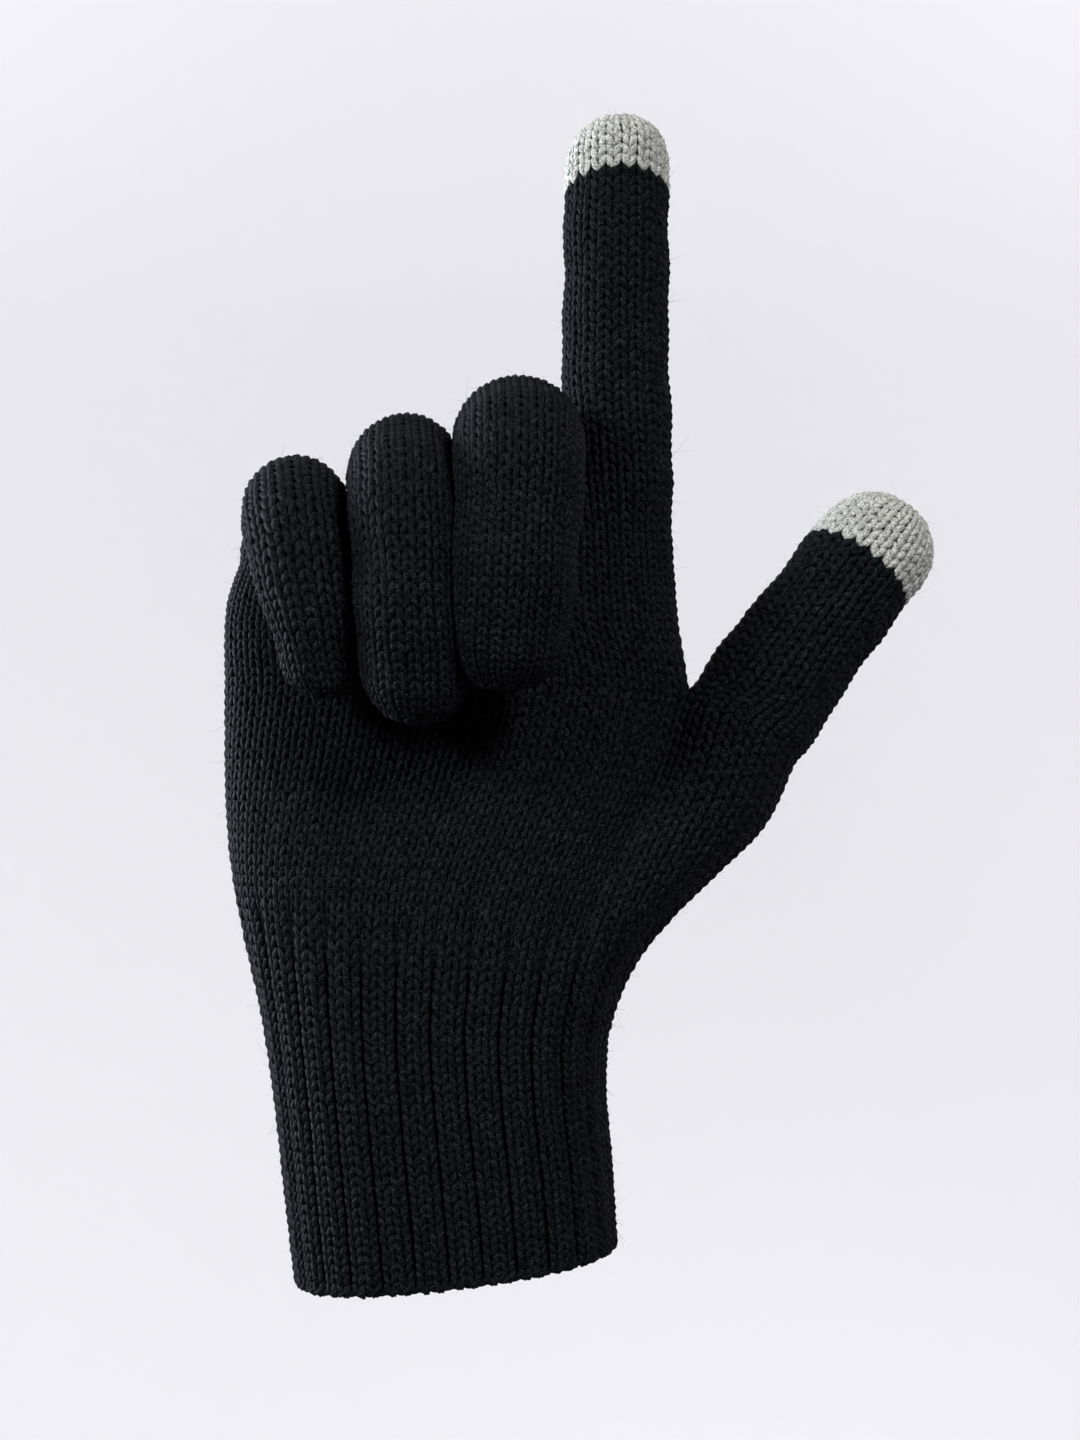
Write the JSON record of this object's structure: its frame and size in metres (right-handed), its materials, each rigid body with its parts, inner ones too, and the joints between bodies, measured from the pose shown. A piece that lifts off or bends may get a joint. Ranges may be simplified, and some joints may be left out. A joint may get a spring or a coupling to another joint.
{
  "type": "touchscreen glove",
  "caption": "Knitted right-hand glove, index finger pointing and the rest curled, with grey conductive tips on index and thumb, a ribbed cuff and bending finger tubes.",
  "frame": {"origin": "centre of the cuff's opening, on the plane of the cuff's lower rim", "axes": "+Z from the cuff along the hand to the pointing index fingertip, +X to the side the thumb is on, the palm faces -Y and the back of the hand +Y"},
  "size_m": [0.1416, 0.0746, 0.235],
  "materials": {
    "black_knit": "knitted stocking stitch, matt, slightly fuzzy",
    "grey_knit": "knitted heather grey conductive yarn, matt",
    "elastic_yarn": "covered elastic thread"
  },
  "bodies": {
    "cuff": {"cuff_hem": "black_knit", "cuff_rib": "black_knit", "cuff_elastic_1": "elastic_yarn", "cuff_elastic_2": "elastic_yarn", "cuff_elastic_3": "elastic_yarn"},
    "hand": {"hand_heel": "black_knit", "hand_palm": "black_knit", "thumb_gusset": "black_knit"},
    "index_root": {"index_root": "black_knit"},
    "index_knuckle": {"index_knuckle": "black_knit"},
    "index_middle": {"index_middle": "black_knit"},
    "index_tip": {"index_end": "black_knit", "index_touch_tip": "grey_knit"},
    "middle_root": {"middle_root": "black_knit"},
    "middle_knuckle": {"middle_knuckle": "black_knit"},
    "middle_middle": {"middle_middle": "black_knit"},
    "middle_tip": {"middle_tip": "black_knit"},
    "ring_root": {"ring_root": "black_knit"},
    "ring_knuckle": {"ring_knuckle": "black_knit"},
    "ring_middle": {"ring_middle": "black_knit"},
    "ring_tip": {"ring_tip": "black_knit"},
    "little_root": {"little_root": "black_knit"},
    "little_knuckle": {"little_knuckle": "black_knit"},
    "little_middle": {"little_middle": "black_knit"},
    "little_tip": {"little_tip": "black_knit"},
    "thumb_root": {"thumb_root": "black_knit"},
    "thumb_tip": {"thumb_end": "black_knit", "thumb_touch_tip": "grey_knit"}
  },
  "joints": [
    {"name": "wrist_bend", "type": "hinge", "parent": "cuff", "child": "hand", "pos_m": [0, 0, 0.066], "axis": [1, 0, 0], "range_deg": [-30, 30]},
    {"name": "index_base_bend", "type": "hinge", "parent": "hand", "child": "index_root", "pos_m": [0.0334, 0, 0.153], "axis": [0.9986, 0.0523, 0], "range_deg": [0, 55]},
    {"name": "index_knuckle_bend", "type": "hinge", "parent": "index_root", "child": "index_knuckle", "pos_m": [0.0334, 0, 0.173], "axis": [0.9986, 0.0523, 0], "range_deg": [0, 52]},
    {"name": "index_knuckle_follow", "type": "hinge", "parent": "index_knuckle", "child": "index_middle", "pos_m": [0.0334, 0, 0.191], "axis": [0.9986, 0.0523, 0], "range_deg": [0, 52]},
    {"name": "index_end_bend", "type": "hinge", "parent": "index_middle", "child": "index_tip", "pos_m": [0.0334, 0, 0.21], "axis": [0.9986, 0.0523, 0], "range_deg": [-0.01, 31.21]},
    {"name": "middle_base_bend", "type": "hinge", "parent": "hand", "child": "middle_root", "pos_m": [0.0116, 0, 0.153], "axis": [0.9986, 0.0523, 0], "range_deg": [-47, 4]},
    {"name": "middle_knuckle_bend", "type": "hinge", "parent": "middle_root", "child": "middle_knuckle", "pos_m": [0.01244, -0.01607, 0.168], "axis": [0.9986, 0.0523, 0], "range_deg": [-60, 0]},
    {"name": "middle_knuckle_follow", "type": "hinge", "parent": "middle_knuckle", "child": "middle_middle", "pos_m": [0.01344, -0.03517, 0.16216], "axis": [0.9986, 0.0523, 0], "range_deg": [-60, 0]},
    {"name": "middle_end_bend", "type": "hinge", "parent": "middle_middle", "child": "middle_tip", "pos_m": [0.01368, -0.03966, 0.14267], "axis": [0.9986, 0.0523, 0], "range_deg": [-25.01, 0.01]},
    {"name": "ring_base_bend", "type": "hinge", "parent": "hand", "child": "ring_root", "pos_m": [-0.01, 0, 0.153], "axis": [0.9986, 0.0523, 0], "range_deg": [-54, 4]},
    {"name": "ring_knuckle_bend", "type": "hinge", "parent": "ring_root", "child": "ring_knuckle", "pos_m": [-0.00915, -0.01616, 0.16476], "axis": [0.9986, 0.0523, 0], "range_deg": [-58, 0]},
    {"name": "ring_knuckle_follow", "type": "hinge", "parent": "ring_knuckle", "child": "ring_middle", "pos_m": [-0.00823, -0.03375, 0.15764], "axis": [0.9986, 0.0523, 0], "range_deg": [-58, 0]},
    {"name": "ring_end_bend", "type": "hinge", "parent": "ring_middle", "child": "ring_tip", "pos_m": [-0.00806, -0.03705, 0.13893], "axis": [0.9986, 0.0523, 0], "range_deg": [-25.01, 0.01]},
    {"name": "little_base_bend", "type": "hinge", "parent": "hand", "child": "little_root", "pos_m": [-0.0306, 0, 0.147], "axis": [0.9973, 0.0523, 0.0523], "range_deg": [-54, 4]},
    {"name": "little_knuckle_bend", "type": "hinge", "parent": "little_root", "child": "little_knuckle", "pos_m": [-0.03042, -0.01293, 0.15643], "axis": [0.9973, 0.0523, 0.0523], "range_deg": [-56, 0]},
    {"name": "little_knuckle_follow", "type": "hinge", "parent": "little_knuckle", "child": "little_middle", "pos_m": [-0.02941, -0.027, 0.15134], "axis": [0.9973, 0.0523, 0.0523], "range_deg": [-56, 0]},
    {"name": "little_end_bend", "type": "hinge", "parent": "little_middle", "child": "little_tip", "pos_m": [-0.02846, -0.03063, 0.13682], "axis": [0.9973, 0.0523, 0.0523], "range_deg": [-22.01, 0.01]},
    {"name": "thumb_base_bend", "type": "hinge", "parent": "hand", "child": "thumb_root", "pos_m": [0.063, 0, 0.12], "axis": [0.6824, -0.5, -0.5332], "range_deg": [0, 40]},
    {"name": "thumb_end_bend", "type": "hinge", "parent": "thumb_root", "child": "thumb_tip", "pos_m": [0.07778, 0, 0.13891], "axis": [0.6824, -0.5, -0.5332], "range_deg": [0, 50]}
  ],
  "couplings": [
    {"joint": "index_knuckle_follow", "follows": "index_knuckle_bend", "ratio": 1},
    {"joint": "index_end_bend", "follows": "index_knuckle_bend", "ratio": 0.6},
    {"joint": "middle_knuckle_follow", "follows": "middle_knuckle_bend", "ratio": 1},
    {"joint": "middle_end_bend", "follows": "middle_knuckle_bend", "ratio": 0.41667},
    {"joint": "ring_knuckle_follow", "follows": "ring_knuckle_bend", "ratio": 1},
    {"joint": "ring_end_bend", "follows": "ring_knuckle_bend", "ratio": 0.43103},
    {"joint": "little_knuckle_follow", "follows": "little_knuckle_bend", "ratio": 1},
    {"joint": "little_end_bend", "follows": "little_knuckle_bend", "ratio": 0.39286}
  ]
}
